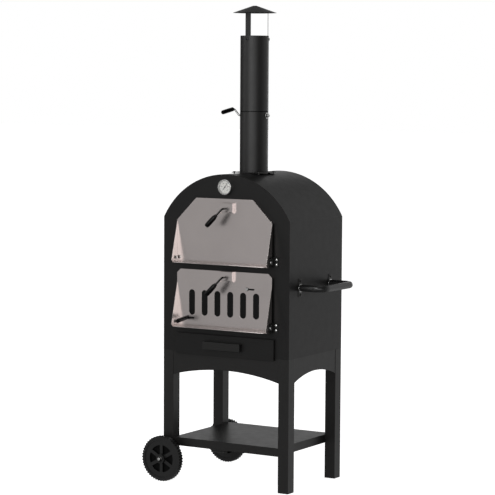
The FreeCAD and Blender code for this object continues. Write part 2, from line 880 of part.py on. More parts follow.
def lower_door():
    """Lower door with six draught slots and two keyhole slots that guide the slider."""
    returns = (lower_door_z + lower_side_height, lower_door_top)
    tray = door_tray(lower_door_outline(), lower_door_z, lower_cheek_height, returns)
    y = (door_face_y - 1, door_back_y + 1)
    cutters = [latch_hole(lower_latch_z)]
    for x in slot_centres():
        cutters.append(round_slot(x, slot_centre_z, slot_width, slot_height, y[0], y[1]))
    for x, z in guide_points():
        cutters.append(rod(keyhole_radius, V(x, y[0], z), V(x, y[1], z)))
        run = slider_travel + guide_end_play
        cutters.append(round_slot(x + run / 2, z, run + guide_slot_height, guide_slot_height,
                                  y[0], y[1]))
    return tray.cut(cutters)


def hinge_bracket(side, pivot_z):
    """Bent bracket: a base screwed to the panel and a lug beside the door's cheek."""
    near = side * (door_half_width + washer_gap)
    base_x = sorted((near, near + side * bracket_width))
    lug_x = sorted((near, near + side * bracket_thick))
    z = (pivot_z - bracket_height / 2, pivot_z + bracket_height / 2)
    base = box(base_x, (front_y - bracket_thick, front_y), z)
    tip = bracket_height * 0.25
    lug = slab_yz([(front_y, z[0]), (front_y, z[1]), (front_y - bracket_lug_depth * 0.7, z[1]),
                   (front_y - bracket_lug_depth, z[1] - tip),
                   (front_y - bracket_lug_depth, z[0] + tip),
                   (front_y - bracket_lug_depth * 0.7, z[0])], lug_x[0], lug_x[1])
    hole = rod(pivot_radius + seat_gap, V(near - 9 * side, pivot_y, pivot_z),
               V(near + 9 * side, pivot_y, pivot_z))
    return with_screw_holes(joined([base, lug]).cut(hole), bracket_seats())


def pivot_bolt(side, pivot_z):
    """Bolt that carries one side of a door; its head is outside the bracket lug."""
    seat = side * (door_half_width + washer_gap + bracket_thick)
    inner = side * (door_half_width - door_sheet - washer_gap - pivot_nut_thick - 1)
    shank = rod(pivot_radius, V(inner, pivot_y, pivot_z), V(seat, pivot_y, pivot_z))
    head = rod(pivot_head_radius, V(seat, pivot_y, pivot_z),
               V(seat + side * pivot_head, pivot_y, pivot_z))
    rim = head.Edges
    head = head.makeChamfer(pivot_head * 0.3, [edge for edge in rim if edge.isClosed()])
    return joined([shank, head])


def pivot_nut(side, pivot_z):
    """Nut on the inner end of a pivot bolt."""
    outer = side * (door_half_width - door_sheet - washer_gap)
    start = V(outer - side * pivot_nut_thick, pivot_y, pivot_z)
    end = V(outer, pivot_y, pivot_z)
    nut = hexagon(pivot_nut_flats, start, end)
    return nut.cut(rod(pivot_radius + seat_gap, start, end))


# ---- Door latches ---------------------------------------------------------------------------------------------
def latch_bracket(latch_z):
    """Bridge bracket that carries the latch rod in front of the door."""
    half = latch_bracket_width / 2
    x = (latch_x - half, latch_x + half)
    z = (latch_z - latch_bracket_height / 2, latch_z + latch_bracket_height / 2)
    block = box(x, (latch_face_y, door_face_y), z)
    sheet = latch_bracket_sheet
    hollow = box((x[0] + sheet, x[1] - sheet), (latch_face_y + sheet, door_face_y), z)
    lean = slab_yz([(latch_face_y, z[0]), (door_face_y, z[0]),
                    (latch_face_y, z[0] + latch_bracket_depth * 0.5)], x[0], x[1])
    hole = rod(latch_rod_radius + running_gap, V(latch_x, latch_face_y - 1, latch_z),
               V(latch_x, door_face_y, latch_z))
    return block.cut([hollow, lean, hole])


def lever_direction():
    """Way the latch lever points at rest: down and to the left, slightly outward."""
    return V(-lever_side, -lever_out, -lever_drop).normalize()


def latch_corner(latch_z):
    """Corner of the latch rod's bend."""
    return V(latch_x, latch_face_y - latch_rod_reach, latch_z)


def latch_rod(latch_z):
    """Bent steel rod from the tongue through the door to the grip."""
    corner = latch_corner(latch_z)
    inner = V(latch_x, front_y + panel_thick + tongue_hub_length, latch_z)
    end = corner + lever_direction() * (latch_neck + latch_grip_length * 0.55)
    return bent_rod([inner, corner, end], 2.5 * latch_rod_radius, latch_rod_radius)


def latch_grip(latch_z):
    """Black tapered grip on the latch lever."""
    start = latch_corner(latch_z) + lever_direction() * latch_neck
    return grip(start, lever_direction(), latch_grip_length, latch_grip_neck_radius,
                latch_grip_end_radius, latch_rod_radius + seat_gap)


def latch_tongue(latch_z):
    """Flat tongue on a hub; turned up, it hooks behind the panel above the opening."""
    y = front_y + panel_thick + 2
    hub = rod(tongue_hub_radius, V(latch_x, y, latch_z), V(latch_x, y + tongue_hub_length - 3, latch_z))
    bar = box((latch_x, latch_x + tongue_length - tongue_half_width), (y, y + tongue_thick),
              (latch_z - tongue_half_width, latch_z + tongue_half_width))
    end_x = latch_x + tongue_length - tongue_half_width
    end = rod(tongue_half_width, V(end_x, y, latch_z), V(end_x, y + tongue_thick, latch_z))
    bore = rod(latch_rod_radius + seat_gap, V(latch_x, y - 1, latch_z), V(latch_x, y + 20, latch_z))
    return joined([hub, bar, end]).cut(bore)


# ---- Draught slider ---------------------------------------------------------------------------------------------
def slider_y():
    """Front and back faces of the slider, just behind the door plate."""
    return door_back_y + body_gap, door_back_y + body_gap + slider_sheet


def vent_slider():
    """Sheet that covers the draught slots; slid along, its six windows uncover them."""
    y = slider_y()
    half_slots = (slot_count - 1) / 2 * slot_pitch + slot_width / 2
    x = (-half_slots - slider_travel - slider_margin, half_slots + slider_margin)
    z = (guide_lower_z - slider_margin, guide_upper_z + slider_margin)
    sheet = box(x, y, z)
    cutters = []
    for centre in slot_centres():
        cutters.append(round_slot(centre - slider_travel, slot_centre_z, slot_width, slot_height,
                                  y[0] - 1, y[1] + 1))
    for peg_x, level in guide_points():
        cutters.append(rod(small_rod_radius + seat_gap, V(peg_x, y[0] - 1, level),
                           V(peg_x, y[1] + 1, level)))
    return sheet.cut(cutters)


def guide_screw():
    """Shouldered screw fixed to the slider; its head passes the keyhole but not the slot."""
    x = guide_upper_x
    z = guide_upper_z
    y = slider_y()
    shank = rod(small_rod_radius, V(x, y[1] + 2, z), V(x, y[0], z))
    head_y = door_face_y - body_gap
    shoulder = rod(peg_radius, V(x, y[0], z), V(x, head_y, z))
    head = rod(guide_head_radius, V(x, head_y, z), V(x, head_y - guide_head, z))
    return joined([shank, shoulder, head])


def knob_direction():
    """Way the slider knob points: out from the door, drooping a little."""
    droop = math.radians(knob_droop_deg)
    return V(0, -math.cos(droop), -math.sin(droop))


def knob_corner():
    """Place where the knob's rod leaves the door."""
    return V(guide_lower_x, door_face_y - body_gap - 3, guide_lower_z)


def vent_knob_rod():
    """Shouldered rod from the slider out to the knob grip."""
    corner = knob_corner()
    y = slider_y()
    shank = rod(small_rod_radius, V(corner.x, y[1] + 2, corner.z), V(corner.x, y[0], corner.z))
    shoulder = rod(peg_radius, V(corner.x, y[0], corner.z), corner)
    core = rod(small_rod_radius, corner - knob_direction() * 2,
               corner + knob_direction() * small_grip_length * 0.55)
    return joined([shank, shoulder, core])


def vent_knob_grip():
    """Small black grip on the slider's knob rod."""
    return grip(knob_corner() + knob_direction() * 1.5, knob_direction(), small_grip_length,
                small_grip_neck_radius, small_grip_radius, small_rod_radius + seat_gap)


# ---- Thermometer --------------------------------------------------------------------------------------------------
def thermometer_case():
    """Round case with a rolled bezel and a stem that reaches into the oven."""
    outer = thermo_radius
    outline = [(0, 0), (outer - 1, 0), (outer - 1, thermo_depth - 3), (outer, thermo_depth - 2.5),
               (outer, thermo_depth - 1), (outer - 1, thermo_depth),
               (outer - thermo_lip, thermo_depth), (outer - thermo_lip, thermo_depth - 1),
               (outer - 1 - thermo_wall, thermo_depth - 1), (outer - 1 - thermo_wall, thermo_wall),
               (0, thermo_wall)]
    case = spun(outline, V(0, front_y, thermo_z), Y * -1)
    stem = rod(thermo_stem_radius, V(0, front_y - 0.5, thermo_z),
               V(0, front_y + thermo_stem_length, thermo_z))
    return joined([case, stem])


def thermometer_dial():
    """Printed disc inside the case, with a hole for the needle's pin."""
    y = front_y - thermo_depth * 0.55
    radius = thermo_radius - 1 - thermo_wall - seat_gap
    return ring(radius, needle_pin_radius + running_gap, V(0, y, thermo_z), V(0, y + 1, thermo_z))


def thermometer_needle():
    """Pointer on a short pin through the dial."""
    y = front_y - thermo_depth * 0.55 - body_gap
    turn = math.radians(needle_angle_deg)
    along = V(math.cos(turn), 0, math.sin(turn))
    across = V(-math.sin(turn), 0, math.cos(turn)) * (needle_width / 2)
    centre = V(0, y, thermo_z)
    corners = [centre - along * needle_tail + across, centre - along * needle_tail - across,
               centre + along * needle_length * 0.2 - across, centre + along * needle_length,
               centre + along * needle_length * 0.2 + across]
    blade = Part.Face(Part.makePolygon(corners + corners[:1])).extrude(Y * -needle_thick)
    boss = rod(2.5, centre, centre - Y * (needle_thick + 0.4))
    pin = rod(needle_pin_radius, centre - Y * needle_thick, centre + Y * 2.5)
    return joined([blade, boss, pin])


def thermometer_glass():
    """Clear disc under the bezel's lip."""
    radius = thermo_radius - 1 - thermo_wall - seat_gap
    y = front_y - thermo_depth + 1
    return rod(radius, V(0, y, thermo_z), V(0, y + 1.2, thermo_z))


# ---- Chimney ---------------------------------------------------------------------------------------------------------
def chimney_plate():
    """Flat square base plate that sits on the crown around the pipe."""
    half = flange_side / 2
    plate = box((-half, half), (-half, half), (crown_z, crown_z + flange_thick))
    upright = [edge for edge in plate.Edges if abs(edge.tangentAt(edge.FirstParameter).z) > 0.9]
    plate = plate.makeFillet(4, upright)
    plate = plate.cut(rod(pipe_radius + seat_gap, V(0, 0, crown_z), V(0, 0, crown_z + flange_thick)))
    return with_screw_holes(plate, flange_seats())


def damper_hole():
    """Cross hole for the damper rod."""
    return rod(damper_rod_radius + running_gap, V(-80, 0, damper_axis_z), V(80, 0, damper_axis_z))


def lower_pipe():
    """Lower pipe with a reduced spigot at its top end."""
    bottom = crown_z - pipe_bottom_drop
    top = pipe_seam_z - pipe_joint_gap / 2
    tube = ring(pipe_radius, pipe_bore, V(0, 0, bottom), V(0, 0, top))
    spigot_radius = pipe_bore - seat_gap
    spigot = ring(spigot_radius, spigot_radius - pipe_wall, V(0, 0, top - spigot_neck),
                  V(0, 0, pipe_seam_z + spigot_length))
    neck = ring(pipe_bore + pipe_wall / 2, spigot_radius - pipe_wall, V(0, 0, top - spigot_neck),
                V(0, 0, top))
    return joined([tube, spigot, neck]).cut(damper_hole())


def upper_pipe():
    """Upper pipe, pushed over the lower pipe's spigot."""
    bottom = pipe_seam_z + pipe_joint_gap / 2
    tube = ring(pipe_radius, pipe_bore, V(0, 0, bottom), V(0, 0, pipe_top_z))
    return with_screw_holes(tube, cap_seats())


def damper_plate():
    """Round flap with a tube along its middle for the rod."""
    radius = pipe_bore - damper_gap
    half = damper_plate_thick / 2
    disc = rod(radius, V(0, 0, damper_axis_z - half), V(0, 0, damper_axis_z + half))
    sleeve = rod(damper_rod_radius + 1.5, V(-radius * 0.8, 0, damper_axis_z),
                 V(radius * 0.8, 0, damper_axis_z))
    bore = rod(damper_rod_radius + seat_gap, V(-80, 0, damper_axis_z), V(80, 0, damper_axis_z))
    return joined([disc, sleeve]).cut(bore)


def damper_grip_direction():
    """Way the damper grip points at rest: forward, a little outward and down."""
    return V(-damper_grip_side, -1, -damper_grip_drop).normalize()


def damper_elbow():
    """Top of the damper crank, where the grip begins."""
    return V(-damper_rod_reach - damper_crank_side, 0, damper_axis_z + damper_crank_rise)


def damper_rod():
    """Rod across the pipe, cranked up and forward outside it."""
    elbow = damper_elbow()
    end = elbow + damper_grip_direction() * (small_grip_length * 0.55)
    points = [V(damper_rod_reach, 0, damper_axis_z), V(-damper_rod_reach, 0, damper_axis_z),
              elbow, end]
    return bent_rod(points, 1.6 * damper_rod_radius, damper_rod_radius)


def damper_grip():
    """Small black grip on the damper rod."""
    start = damper_elbow() + damper_grip_direction() * (2.6 * damper_rod_radius)
    return grip(start, damper_grip_direction(), small_grip_length, small_grip_neck_radius,
                small_grip_radius, damper_rod_radius + seat_gap)


def damper_nut():
    """Washer and nut on the rod's plain end, in one piece."""
    start = pipe_radius + body_gap
    washer = rod(damper_washer_radius, V(start, 0, damper_axis_z),
                 V(start + damper_washer_thick, 0, damper_axis_z))
    nut = hexagon(damper_nut_flats, V(start + damper_washer_thick, 0, damper_axis_z),
                  V(start + damper_washer_thick + damper_nut_thick, 0, damper_axis_z))
    bore = rod(damper_rod_radius + seat_gap, V(start - 1, 0, damper_axis_z),
               V(start + 20, 0, damper_axis_z))
    return joined([washer, nut]).cut(bore)


def cap_cone(drop):
    """Filled cone of the rain cap, lowered by the drop."""
    return Part.makeCone(cap_radius, cap_top_radius, cap_height, V(0, 0, cap_rim_z - drop), Z)


def rain_cap():
    """Shallow sheet cone with a small flat top."""
    return cap_cone(0).cut(cap_cone(cap_sheet))


def cap_strap(turn):
    """Flat strap from inside the pipe up to the underside of the cap."""
    half = strap_width / 2
    strap = box((strap_face - strap_thick, strap_face), (-half, half),
                (pipe_top_z - strap_tuck, cap_rim_z + cap_height))
    above = Part.makeCone(cap_radius, cap_top_radius, cap_height, V(0, 0, cap_rim_z - cap_sheet), Z)
    under = Part.makeBox(4 * cap_radius, 4 * cap_radius, cap_rim_z + cap_height,
                         V(-2 * cap_radius, -2 * cap_radius, -cap_height))
    under = under.fuse(above)
    strap.rotate(V(0, 0, 0), Z, math.degrees(turn))
    return with_screw_holes(strap.common(under), cap_seats())


# ---- Carrying handle ---------------------------------------------------------------------------------------------------
def side_handle():
    """Bent tube handle on the side opposite the wheels."""
    start_x = half_width + handle_plate_thick
    outer = half_width + handle_reach
    front = handle_end_y(-1)
    back = handle_end_y(1)
    points = [V(start_x, front, handle_z), V(outer, front, handle_z),
              V(outer, back, handle_z), V(start_x, back, handle_z)]
    full = bent_rod(points, handle_bend, handle_tube_radius)
    return full.cut(bent_rod(points, handle_bend, handle_tube_radius - handle_tube_wall))


def handle_plate(end):
    """Mounting plate under one end of the handle."""
    y = handle_end_y(end)
    half = handle_plate_width / 2
    plate = box((half_width, half_width + handle_plate_thick), (y - half, y + half),
                (handle_z - handle_plate_height / 2, handle_z + handle_plate_height / 2))
    flat = [edge for edge in plate.Edges if abs(edge.tangentAt(edge.FirstParameter).x) > 0.9]
    plate = plate.makeFillet(half * 0.6, flat)
    return with_screw_holes(plate, handle_seats())


def handle_collar(end):
    """Bright ring around the tube where it meets its plate."""
    y = handle_end_y(end)
    start_x = half_width + handle_plate_thick
    return ring(handle_collar_radius, handle_tube_radius + seat_gap, V(start_x, y, handle_z),
                V(start_x + handle_collar_length, y, handle_z))


# ---- Footprint -----------------------------------------------------------------------------------------------------------
knob_tip = knob_corner() + knob_direction() * (small_grip_length + 1.5)
axle_end = half_depth + wheel_offset + hub_length / 2 + wheel_bolt_end
footprint_x = (half_width + handle_reach + handle_tube_radius + axle_x - wheel_radius) / 2
footprint_y = (knob_tip.y + axle_end) / 2

# ---- Write every node ------------------------------------------------------------------------------------------------------
left_leg_z = axle_z - axle_leg_below
nodes = {
    "leg_front_right": [leg(1, -1, foot_cap_thick)],
    "leg_back_right": [leg(1, 1, foot_cap_thick)],
    "leg_front_left": [leg(-1, -1, left_leg_z)],
    "leg_back_left": [leg(-1, 1, left_leg_z)],
    "leg_caps": [leg_cap(side_x, side_y, foot_cap_thick if side_x > 0 else left_leg_z)
                 for side_x in (-1, 1) for side_y in (-1, 1)],
    "apron_front": [apron(leg_inner_x, X, Y * -1, half_depth - apron_recess)],
    "apron_back": [apron(leg_inner_x, X * -1, Y, half_depth - apron_recess)],
    "apron_left": [apron(leg_inner_y, Y * -1, X * -1, half_width - apron_recess)],
    "apron_right": [apron(leg_inner_y, Y, X, half_width - apron_recess)],
    "bottom_shelf": [bottom_shelf()],
    "wheel_bolts": [wheel_bolt(-1), wheel_bolt(1)],
    "push_nuts": [push_nut(-1), push_nut(1)],
    "front_wheel": [wheel(-1)],
    "rear_wheel": [wheel(1)],
    "body_shell": [body_shell()],
    "front_panel": [front_panel()],
    "rear_panel": [rear_panel()],
    "body_floor": [body_floor()],
    "side_rails": [side_rail(side, top_z) for side in (-1, 1)
                   for top_z in (grate_z, stone_z, rack_z)],
    "charcoal_grate": [charcoal_grate()],
    "pizza_stone": [pizza_stone()],
    "cooking_rack": [cooking_rack()],
    "drawer_runners": [drawer_runner(-1), drawer_runner(1)],
    "ash_tray": [ash_tray()],
    "drawer_front": [drawer_front()],
    "drawer_pull": [drawer_pull()],
    "upper_door": [upper_door()],
    "lower_door": [lower_door()],
    "hinge_brackets": [hinge_bracket(side, z) for side in (-1, 1)
                       for z in (upper_pivot_z, lower_pivot_z)],
    "pivot_bolts": [pivot_bolt(side, z) for side in (-1, 1)
                    for z in (upper_pivot_z, lower_pivot_z)],
    "pivot_nuts": [pivot_nut(side, z) for side in (-1, 1)
                   for z in (upper_pivot_z, lower_pivot_z)],
    "upper_latch_bracket": [latch_bracket(upper_latch_z)],
    "upper_latch_rod": [latch_rod(upper_latch_z)],
    "upper_latch_grip": [latch_grip(upper_latch_z)],
    "upper_latch_tongue": [latch_tongue(upper_latch_z)],
    "lower_latch_bracket": [latch_bracket(lower_latch_z)],
    "lower_latch_rod": [latch_rod(lower_latch_z)],
    "lower_latch_grip": [latch_grip(lower_latch_z)],
    "lower_latch_tongue": [latch_tongue(lower_latch_z)],
    "vent_slider": [vent_slider()],
    "vent_guide_screw": [guide_screw()],
    "vent_knob_rod": [vent_knob_rod()],
    "vent_knob_grip": [vent_knob_grip()],
    "thermometer_case": [thermometer_case()],
    "thermometer_dial": [thermometer_dial()],
    "thermometer_needle": [thermometer_needle()],
    "thermometer_glass": [thermometer_glass()],
    "chimney_plate": [chimney_plate()],
    "lower_pipe": [lower_pipe()],
    "upper_pipe": [upper_pipe()],
    "damper_plate": [damper_plate()],
    "damper_rod": [damper_rod()],
    "damper_grip": [damper_grip()],
    "damper_nut": [damper_nut()],
    "rain_cap": [rain_cap()],
    "cap_straps": [cap_strap(turn) for turn in strap_turns],
    "panel_screws": [screw(seat, into) for seat, into in all_seats],
    "side_handle": [side_handle()],
    "handle_plates": [handle_plate(-1), handle_plate(1)],
    "handle_collars": [handle_collar(-1), handle_collar(1)],
}

for name, solids in nodes.items():
    save(name, solids)
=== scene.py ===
import json
import math

import bmesh
import bpy
from mathutils import Matrix, Vector


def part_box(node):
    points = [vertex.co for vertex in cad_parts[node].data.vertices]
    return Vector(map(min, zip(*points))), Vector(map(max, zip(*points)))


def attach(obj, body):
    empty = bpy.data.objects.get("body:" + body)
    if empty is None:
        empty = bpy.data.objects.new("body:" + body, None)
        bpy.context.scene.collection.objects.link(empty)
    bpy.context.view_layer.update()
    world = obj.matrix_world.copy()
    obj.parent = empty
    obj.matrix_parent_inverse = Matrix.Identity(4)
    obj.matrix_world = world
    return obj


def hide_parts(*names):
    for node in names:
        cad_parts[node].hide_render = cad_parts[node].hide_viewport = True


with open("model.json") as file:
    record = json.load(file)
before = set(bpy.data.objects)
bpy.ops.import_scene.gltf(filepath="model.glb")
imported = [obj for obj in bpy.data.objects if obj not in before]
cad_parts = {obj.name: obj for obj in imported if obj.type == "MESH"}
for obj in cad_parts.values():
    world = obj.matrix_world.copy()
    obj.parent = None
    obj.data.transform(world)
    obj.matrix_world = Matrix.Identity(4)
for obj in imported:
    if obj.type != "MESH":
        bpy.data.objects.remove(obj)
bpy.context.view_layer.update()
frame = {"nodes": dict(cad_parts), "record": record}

MM = 0.001

# ---------------------------------------------------------------- where things are
SHELL_LOW, SHELL_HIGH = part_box("body_shell")
PANEL_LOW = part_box("front_panel")[0]
REAR_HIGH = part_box("rear_panel")[1]
CENTRE = Vector(((SHELL_LOW.x + SHELL_HIGH.x) / 2, (PANEL_LOW.y + REAR_HIGH.y) / 2, 0))
X = Vector((1, 0, 0))
Y = Vector((0, 1, 0))
Z = Vector((0, 0, 1))


def middle(node_name):
    """Middle of a CAD node's box."""
    low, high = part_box(node_name)
    return (low + high) / 2


def moved(point, x=0, y=0, z=0):
    """A point moved by distances in millimetres."""
    return point + Vector((x, y, z)) * MM


# ---------------------------------------------------------------- materials
def new_material(name, colour, roughness, metallic=0.0, specular=0.5):
    """New material, with its principled shader."""
    m = bpy.data.materials.new(name)
    m.use_nodes = True
    b = m.node_tree.nodes["Principled BSDF"]
    b.inputs["Base Color"].default_value = (*colour, 1)
    b.inputs["Roughness"].default_value = roughness
    b.inputs["Metallic"].default_value = metallic
    b.inputs["Specular IOR Level"].default_value = specular
    return m, b


def node(m, kind, **inputs):
    """New shader node with its inputs set; an underscore stands for a space in a name."""
    n = m.node_tree.nodes.new(kind)
    for key, value in inputs.items():
        n.inputs[key.replace("_", " ")].default_value = value
    return n


def link(m, a, b):
    m.node_tree.links.new(a, b)


def noise(m, scale, detail=2.0, stretch=(1, 1, 1)):
    """Solid noise in object space; stretch below 1 draws the grain out along that axis."""
    coords = m.node_tree.nodes.new("ShaderNodeTexCoord")
    mapping = node(m, "ShaderNodeMapping", Scale=stretch)
    n = node(m, "ShaderNodeTexNoise", Scale=scale, Detail=detail)
    link(m, coords.outputs["Object"], mapping.inputs["Vector"])
    link(m, mapping.outputs["Vector"], n.inputs["Vector"])
    return n.outputs["Fac"]


def vary_colour(m, b, colour, spread, source):
    """Base colour a share darker to a share lighter, by a source between 0 and 1."""
    ramp = m.node_tree.nodes.new("ShaderNodeValToRGB")
    ramp.color_ramp.elements[0].position = 0.3
    ramp.color_ramp.elements[1].position = 0.7
    ramp.color_ramp.elements[0].color = (*[c * (1 - spread) for c in colour], 1)
    ramp.color_ramp.elements[1].color = (*[min(1, c * (1 + spread)) for c in colour], 1)
    link(m, source, ramp.inputs["Fac"])
    link(m, ramp.outputs["Color"], b.inputs["Base Color"])


def vary_roughness(m, b, low, high, source):
    """Roughness between two values."""
    r = node(m, "ShaderNodeMapRange", From_Min=0.3, From_Max=0.7, To_Min=low, To_Max=high)
    link(m, source, r.inputs["Value"])
    link(m, r.outputs["Result"], b.inputs["Roughness"])


def bump(m, b, height_mm, source):
    """Fine relief of a given height."""
    n = node(m, "ShaderNodeBump", Strength=1.0, Distance=height_mm * MM)
    link(m, source, n.inputs["Height"])
    link(m, n.outputs["Normal"], b.inputs["Normal"])


def paint(name, colour, roughness, specular=0.5, peel=0.012, grain=700):
    """Powder coat or stove paint: fine orange peel and slightly uneven sheen."""
    m, b = new_material(name, colour, roughness, 0.0, specular)
    vary_colour(m, b, colour, 0.06, noise(m, 14, 3))
    vary_roughness(m, b, roughness - 0.02, roughness + 0.03, noise(m, 45, 4))
    bump(m, b, peel, noise(m, grain, 2))
    return m


def metal(name, colour, roughness, grain=(1, 1, 1), scale=600, depth=0.006, spread=0.05,
          uneven=0.06):
    """Bare or plated metal, its grain drawn out along one axis."""
    m, b = new_material(name, colour, roughness, 1.0)
    streaks = noise(m, scale, 3, grain)
    vary_colour(m, b, colour, spread, noise(m, 9, 3))
    vary_roughness(m, b, roughness - uneven, roughness + uneven, streaks)
    bump(m, b, depth, streaks)
    return m


def plastic(name, colour, roughness, specular=0.5, depth=0.03, scale=900):
    """Moulded plastic with a fine grain."""
    m, b = new_material(name, colour, roughness, 0.0, specular)
    vary_colour(m, b, colour, 0.12, noise(m, 25, 3))
    vary_roughness(m, b, roughness - 0.06, roughness + 0.08, noise(m, 120, 3))
    bump(m, b, depth, noise(m, scale, 3))
    return m


MATERIALS = {
    "body_paint": paint("body_paint", (0.0040, 0.0038, 0.0037), 0.40, 0.26),
    "black_paint": paint("black_paint", (0.0060, 0.0057, 0.0055), 0.40, 0.32),
    "chimney_paint": paint("chimney_paint", (0.0065, 0.0062, 0.0060), 0.44, 0.42),
    "handle_paint": paint("handle_paint", (0.009, 0.009, 0.009), 0.28, 0.5, 0.006),
    "black_steel": metal("black_steel", (0.045, 0.044, 0.043), 0.30),
    "zinc_steel": metal("zinc_steel", (0.66, 0.66, 0.65), 0.22),
    "stainless_sheet": metal("stainless_sheet", (0.64, 0.585, 0.57), 0.25, (0.03, 1, 1), 1500,
                             0.00008, 0.03, 0.010),
    "slider_steel": paint("slider_steel", (0.0025, 0.0025, 0.0025), 0.5, 0.12),
    "bezel_steel": metal("bezel_steel", (0.78, 0.78, 0.77), 0.14, depth=0.001),
    "rack_chrome": metal("rack_chrome", (0.70, 0.70, 0.70), 0.18, depth=0.002),
    "black_plastic": plastic("black_plastic", (0.012, 0.012, 0.012), 0.5),
    "wheel_plastic": plastic("wheel_plastic", (0.0060, 0.0060, 0.0060), 0.45, 0.35, 0.05, 500),
    "grip_plastic": plastic("grip_plastic", (0.0010, 0.0010, 0.0010), 0.15, 0.14, 0.003),
    "needle_paint": paint("needle_paint", (0.01, 0.01, 0.01), 0.4),
    "dial_face": paint("dial_face", (0.72, 0.71, 0.68), 0.5, 0.4, 0.002),
    "dial_ink": paint("dial_ink", (0.02, 0.02, 0.02), 0.5, 0.3, 0.001),
    # painted shade: a near-black, dull band that stands for the shadow in the seam between the pipes
    "painted_seam_shade": paint("painted_seam_shade", (0.0010, 0.0010, 0.0010), 0.7, 0.05, 0.02),
    # painted shade: a darker, duller black for the floors of the wheels' pockets
    "painted_pocket_shade": plastic("painted_pocket_shade", (0.0015, 0.0015, 0.0015), 0.7, 0.08, 0.05, 500),
}

STONE_COLOUR = (0.55, 0.46, 0.34)
stone, stone_b = new_material("baking_stone", STONE_COLOUR, 0.85, 0.0, 0.3)
vary_colour(stone, stone_b, STONE_COLOUR, 0.22, noise(stone, 90, 8))
bump(stone, stone_b, 0.25, noise(stone, 420, 6))
MATERIALS["baking_stone"] = stone

IRON_COLOUR = (0.035, 0.032, 0.030)
iron, iron_b = new_material("cast_grate", IRON_COLOUR, 0.7, 0.6, 0.4)
vary_colour(iron, iron_b, IRON_COLOUR, 0.35, noise(iron, 60, 6))
vary_roughness(iron, iron_b, 0.55, 0.85, noise(iron, 200, 5))
bump(iron, iron_b, 0.35, noise(iron, 330, 6))
MATERIALS["cast_grate"] = iron

glass, glass_b = new_material("dial_glass", (1, 1, 1), 0.02)
glass_b.inputs["Transmission Weight"].default_value = 1.0
glass_b.inputs["IOR"].default_value = 1.45
MATERIALS["dial_glass"] = glass


# ---------------------------------------------------------------- geometry helpers
TIP_RADIUS = 1e-6
MERGE_DISTANCE = 2e-6
FLAT_ANGLE = 0.6
SLOT_OF = {s["node"]: s["material_slot"] for s in frame["record"]["subparts"]}
BODY_OF = {n: b for b, nodes in frame["record"]["behaviour"]["bodies"].items() for n in nodes}


def finish_mesh(obj, slot, body, replaced=(), sharp=32):
    """Material, shading, body, slot and the CAD nodes that the piece stands for."""
    obj.data.materials.clear()
    obj.data.materials.append(MATERIALS[slot])
    for polygon in obj.data.polygons:
        polygon.use_smooth = True
    obj.data.set_sharp_from_angle(angle=math.radians(sharp))
    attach(obj, body)
    if replaced:
        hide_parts(*replaced)
    return obj


def object_from(bm, name):
    """New object made from a finished bmesh."""
    mesh = bpy.data.meshes.new(name)
    bm.to_mesh(mesh)
    bm.free()
    obj = bpy.data.objects.new(name, mesh)
    bpy.context.scene.collection.objects.link(obj)
    return obj


def weighted(obj):
    """Face-weighted normals, so that rounded edges shade evenly."""
    m = obj.modifiers.new("even_normals", "WEIGHTED_NORMAL")
    m.keep_sharp = True
    m.weight = 60
    return obj


def softened(node_name, width_mm, segments=2, sharp=28):
    """The CAD node again with its hard edges rounded off."""
    bm = bmesh.new()
    bm.from_mesh(frame["nodes"][node_name].data)
    bmesh.ops.remove_doubles(bm, verts=bm.verts, dist=MERGE_DISTANCE)
    flat = math.radians(FLAT_ANGLE)
    bmesh.ops.dissolve_limit(bm, angle_limit=flat, verts=bm.verts, edges=bm.edges)
    limit = math.radians(sharp)
    hard = [e for e in bm.edges if len(e.link_faces) == 2 and e.calc_face_angle(0) > limit]
    bmesh.ops.bevel(bm, geom=hard, offset=width_mm * MM, offset_type="OFFSET", segments=segments,
                    profile=0.5, affect="EDGES", clamp_overlap=True)
    obj = object_from(bm, node_name + "_look")
    return weighted(finish_mesh(obj, SLOT_OF[node_name], BODY_OF[node_name], (node_name,), 50))


def no_sink(u, v, along):
    """Depth sunk into a turned surface: none."""
    return 0.0


def lathe_bm(bm, profile, start, direction, segments=64, sink=no_sink):
    """Adds a turned solid: (radius, distance) pairs in millimetres along a direction.

    sink(u, v, along) says how far each point, given across and along the axis, is sunk back.
    """
    turn = Z.rotation_difference(direction.normalized())
    rings = []
    for radius, along in profile:
        ring = []
        for i in range(segments if radius > TIP_RADIUS else 1):
            a = 2 * math.pi * i / segments
            u, v = radius * math.cos(a), radius * math.sin(a)
            p = Vector((u, v, along - sink(abs(u), abs(v), along)))
            ring.append(bm.verts.new(start + turn @ (p * MM)))
        rings.append(ring)
    for low, high in zip(rings, rings[1:]):
        for i in range(segments):
            j = (i + 1) % segments
            if len(low) == 1 and len(high) == 1:
                continue
            if len(low) == 1:
                bm.faces.new((low[0], high[j], high[i]))
            elif len(high) == 1:
                bm.faces.new((low[i], low[j], high[0]))
            else:
                bm.faces.new((low[i], low[j], high[j], high[i]))


def lathe(name, profile, start, direction, slot, body, replaced=(), segments=64):
    """Turned piece as its own object."""
    bm = bmesh.new()
    lathe_bm(bm, profile, start, direction, segments)
    bmesh.ops.recalc_face_normals(bm, faces=bm.faces)
    return finish_mesh(object_from(bm, name), slot, body, replaced)


